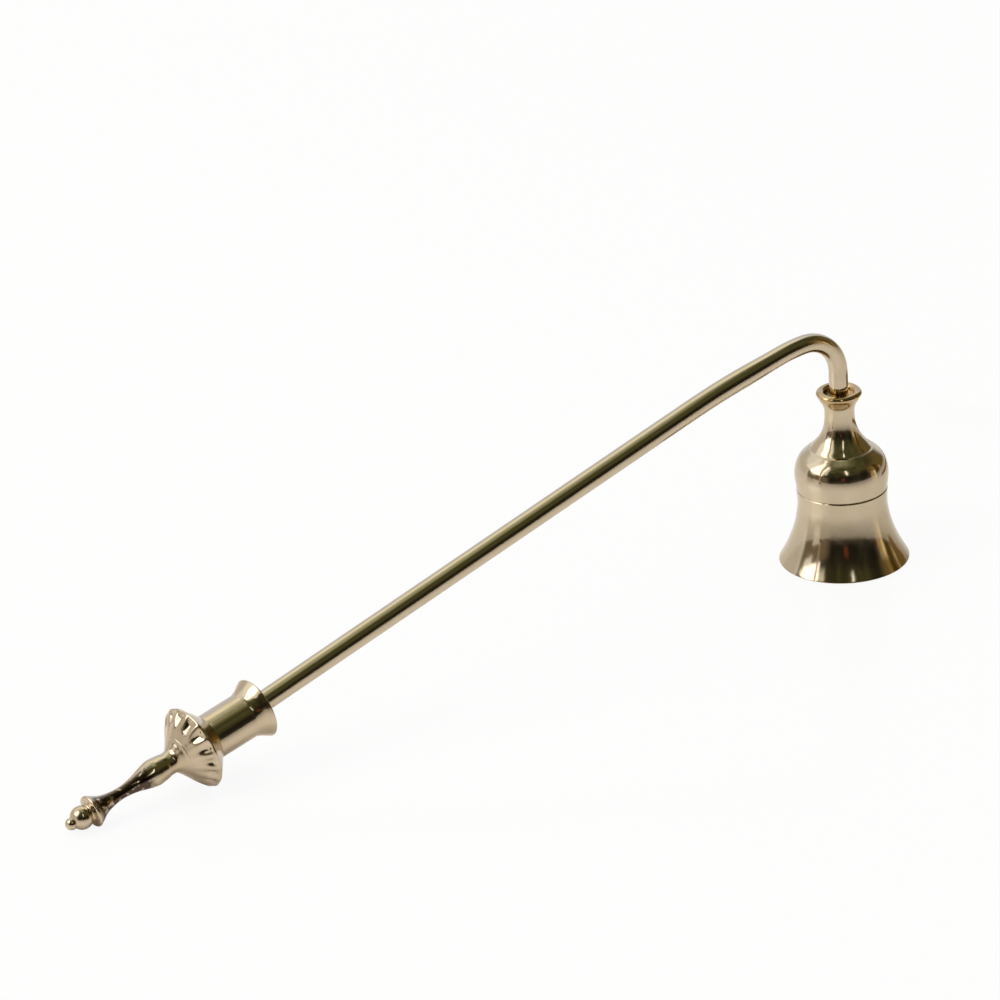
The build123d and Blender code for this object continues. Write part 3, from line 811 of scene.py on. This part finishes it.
def card(
    name, azimuths, elevations, distance, soft,
    colour=(1, 1, 1), strength=1.0, room=False, middle=Vector(),
):
    """A curved card that only reflections see; soft is in degrees for each of its edges."""
    wide, tall = azimuths[1] - azimuths[0], elevations[1] - elevations[0]
    shares = [soft[0] / wide, soft[1] / wide, soft[2] / tall, soft[3] / tall]
    steps = 32
    points, places, faces = [], [], []
    for j in range(steps + 1):
        for i in range(steps + 1):
            u, v = i / steps, j / steps
            way = direction(between(*azimuths, u), between(*elevations, v))
            points.append(middle + way * distance)
            places.append((u, v, 0))
    for j in range(steps):
        for i in range(steps):
            k = j * (steps + 1) + i
            faces.append((k, k + 1, k + steps + 2, k + steps + 1))
    mesh = bpy.data.meshes.new(name)
    mesh.from_pydata(points, [], faces)
    attribute = mesh.attributes.new("card", "FLOAT_VECTOR", "POINT")
    attribute.data.foreach_set("vector", np.array(places, np.float32).ravel())
    mesh.materials.append(card_material(name, colour, strength, shares, room))
    made = bpy.data.objects.new(name, mesh)
    bpy.context.scene.collection.objects.link(made)
    made.visible_camera = made.visible_diffuse = made.visible_shadow = False
    made.visible_transmission = made.visible_volume_scatter = False


card("room", (-305, -40), (0, 89), 3.2, (27, 16, 0.1, 3), room=True)
card("far_wall", (-47, 20), (0, 34), 3.1, (8, 10, 0.1, 12), (0.98, 0.94, 0.88), 0.7)
card("brown_wall", (-292, -212), (0, 50), 3.0, (15, 14, 0.1, 26), (0.16, 0.118, 0.046), 1.0)
card("cupboard", (-118, -46), (0, 22), 3.0, (18, 6, 0.1, 6), (0.19, 0.145, 0.095), 1.0)
card("lantern", (-238, -221), (-1, 16), 2.8, (6, 6, 1, 4), (0.42, 0.34, 0.2), 1.0)
card("pale_wall", (-58, -22), (20, 62), 2.7, (6, 10, 6, 12), (1, 1, 1), 1.2)
card("window_edge", (-106, -86), (22, 64), 2.6, (5, 3, 12, 5), (1.0, 0.97, 0.82), 1.0)
card("sill", (-75, -54), (11, 22), 2.55, (5, 5, 4, 1), (1.0, 0.98, 0.95), 1.0)
card("window", (-94, -48), (18, 71), 2.5, (6, 6, 3, 8), (1.0, 1.0, 1.0), 2.6)
card("small_window", (-165, -158), (28, 58), 2.5, (2, 2, 9, 6), (0.98, 0.98, 0.9), 2.6)
card("red_chair", (-156, -143), (8, 21), 2.7, (5, 5, 5, 5), (0.24, 0.06, 0.025), 0.8)
card("gold_lamp", (-238, -231), (0, 13), 2.6, (2, 2, 1, 4), (1.0, 0.78, 0.4), 1.1)
card("gold_frame", (-226, -221), (-1, 10), 2.7, (1.5, 1.5, 1, 5), (0.9, 0.55, 0.25), 0.6)
card("gold_shade", (-239, -230), (9, 32), 2.75, (2, 2, 4, 12), (0.3, 0.195, 0.06), 1.0)
card("dark_post", (-250, -239), (0, 36), 2.65, (4, 2, 0.1, 12), (0.075, 0.036, 0.006), 1.0)
card("gold_edge", (-257, -253), (1, 12), 2.6, (1.5, 1.5, 1, 3), (0.9, 0.68, 0.35), 0.9)
card("daylight", (8, 74), (0, 46), 2.5, (12, 22, 0.1, 14), (0.94, 1.0, 1.1), 0.8)
card("ceiling", (-60, 80), (52, 89.5), 3.15, (20, 20, 36, 0.1), (0.42, 0.45, 0.25), 1.0)
card("glow", (-4, 60), (44, 70), 2.6, (16, 16, 10, 12), (1.0, 0.97, 0.75), 1.25)

# A pale sheet close to the handle, which the disc's face and the finial's foot reflect,
# and a strip of wood beside the bell, which its mouth reflects
disc_place = disc_centre * MM
mouth_place = Vector((BELL_X, 0, 8)) * MM
card(
    "sheet", (-100, -26), (-9, 17), 0.12, (10, 12, 2, 5),
    (0.9, 0.86, 0.8), 0.78, middle=disc_place,
)
card(
    "wood", (-316, -244), (-8, 3), 0.118, (10, 9, 3, 3),
    (0.2, 0.12, 0.045), 1.0, middle=mouth_place,
)

# Floor: white to the camera, with a faint shadow, and a pale table to everything else
FLOOR = 4.5
floor_material, nodes, links, surface = bare_material("floor")
table = node_at(nodes, "ShaderNodeBsdfPrincipled")
table.inputs["Base Color"].default_value = (0.8, 0.76, 0.72, 1)
table.inputs["Roughness"].default_value = 0.16
paper = node_at(nodes, "ShaderNodeEmission")
paper.inputs["Color"].default_value = (1, 1, 1, 1)
paper.inputs["Strength"].default_value = 1.0
path = node_at(nodes, "ShaderNodeLightPath")
share = node_at(nodes, "ShaderNodeMath", operation="MULTIPLY")
share.inputs[1].default_value = 0.9
mixed = node_at(nodes, "ShaderNodeMixShader")
links.new(path.outputs["Is Camera Ray"], share.inputs[0])
links.new(share.outputs["Value"], mixed.inputs["Fac"])
links.new(table.outputs["BSDF"], mixed.inputs[1])
links.new(paper.outputs["Emission"], mixed.inputs[2])
links.new(mixed.outputs["Shader"], surface)
floor_mesh = bpy.data.meshes.new("floor")
corners = [(-FLOOR, -FLOOR, 0), (FLOOR, -FLOOR, 0), (FLOOR, FLOOR, 0), (-FLOOR, FLOOR, 0)]
floor_mesh.from_pydata(corners, [], [(0, 1, 2, 3)])
floor_mesh.materials.append(floor_material)
floor = bpy.data.objects.new("floor", floor_mesh)
floor.location.z = -0.02 * MM
bpy.context.scene.collection.objects.link(floor)

# World: white to the camera and in reflections, and a plain even light on the table
world = bpy.data.worlds.new("studio")
bpy.context.scene.world = world
world.use_nodes = True
nodes, links = world.node_tree.nodes, world.node_tree.links
nodes.clear()
output = node_at(nodes, "ShaderNodeOutputWorld")
sky = node_at(nodes, "ShaderNodeBackground")
sky.inputs["Color"].default_value = (1, 1, 1, 1)
path = node_at(nodes, "ShaderNodeLightPath")
seen = node_at(nodes, "ShaderNodeMath", operation="MAXIMUM")
shown = node_at(nodes, "ShaderNodeMath", operation="MAXIMUM")
links.new(path.outputs["Is Camera Ray"], seen.inputs[0])
links.new(path.outputs["Is Glossy Ray"], seen.inputs[1])
links.new(seen.outputs["Value"], shown.inputs[0])
links.new(path.outputs["Is Transmission Ray"], shown.inputs[1])
level = mapped(nodes, links, shown.outputs["Value"], (0, 1), (0.72, 1.0))
links.new(level, sky.inputs["Strength"])
links.new(sky.outputs["Background"], output.inputs["Surface"])


def softbox(name, azimuth, elevation, distance, width, height, power):
    """A soft lamp that faces the object and doesn't show in it."""
    data = bpy.data.lights.new(name, "AREA")
    data.shape = "RECTANGLE"
    data.size, data.size_y, data.energy = width, height, power
    lamp = bpy.data.objects.new(name, data)
    bpy.context.scene.collection.objects.link(lamp)
    way = direction(azimuth, elevation)
    lamp.location = way * distance
    lamp.rotation_mode = "QUATERNION"
    lamp.rotation_quaternion = way.to_track_quat("Z", "Y")
    lamp.visible_glossy = False


softbox("key", -80, 40, 2.2, 1.4, 1.2, 22)
softbox("top", 20, 75, 2.2, 1.6, 1.6, 12)

# Camera, at the photograph's viewing angle
AZIMUTH, ELEVATION, ROLL = math.radians(-35.53), math.radians(24.77), math.radians(-2.65)
DISTANCE = 4000.0
PIXELS_PER_MM = 3.2703
TARGET_ACROSS, TARGET_UP = -104.4, 22.05
IMAGE = 1000
SENSOR = 36
back = Vector((
    math.sin(AZIMUTH) * math.cos(ELEVATION),
    -math.cos(AZIMUTH) * math.cos(ELEVATION),
    math.sin(ELEVATION),
))
right = Vector((math.cos(AZIMUTH), math.sin(AZIMUTH), 0))
up = back.cross(right)
target = Vector((BELL_X, 0, 0)) + right * TARGET_ACROSS + up * TARGET_UP
rolled_right = right * math.cos(ROLL) + up * math.sin(ROLL)
rolled_up = up * math.cos(ROLL) - right * math.sin(ROLL)
camera_data = bpy.data.cameras.new("camera")
camera_data.sensor_width = SENSOR
camera_data.lens = SENSOR * PIXELS_PER_MM * DISTANCE / IMAGE
camera_data.clip_start, camera_data.clip_end = 0.5, 50
camera = bpy.data.objects.new("camera", camera_data)
bpy.context.scene.collection.objects.link(camera)
turn = Matrix((rolled_right, rolled_up, back)).transposed().to_4x4()
camera.matrix_world = Matrix.Translation((target + back * DISTANCE) * MM) @ turn
bpy.context.scene.camera = camera
bpy.context.scene.view_settings.view_transform = "Standard"
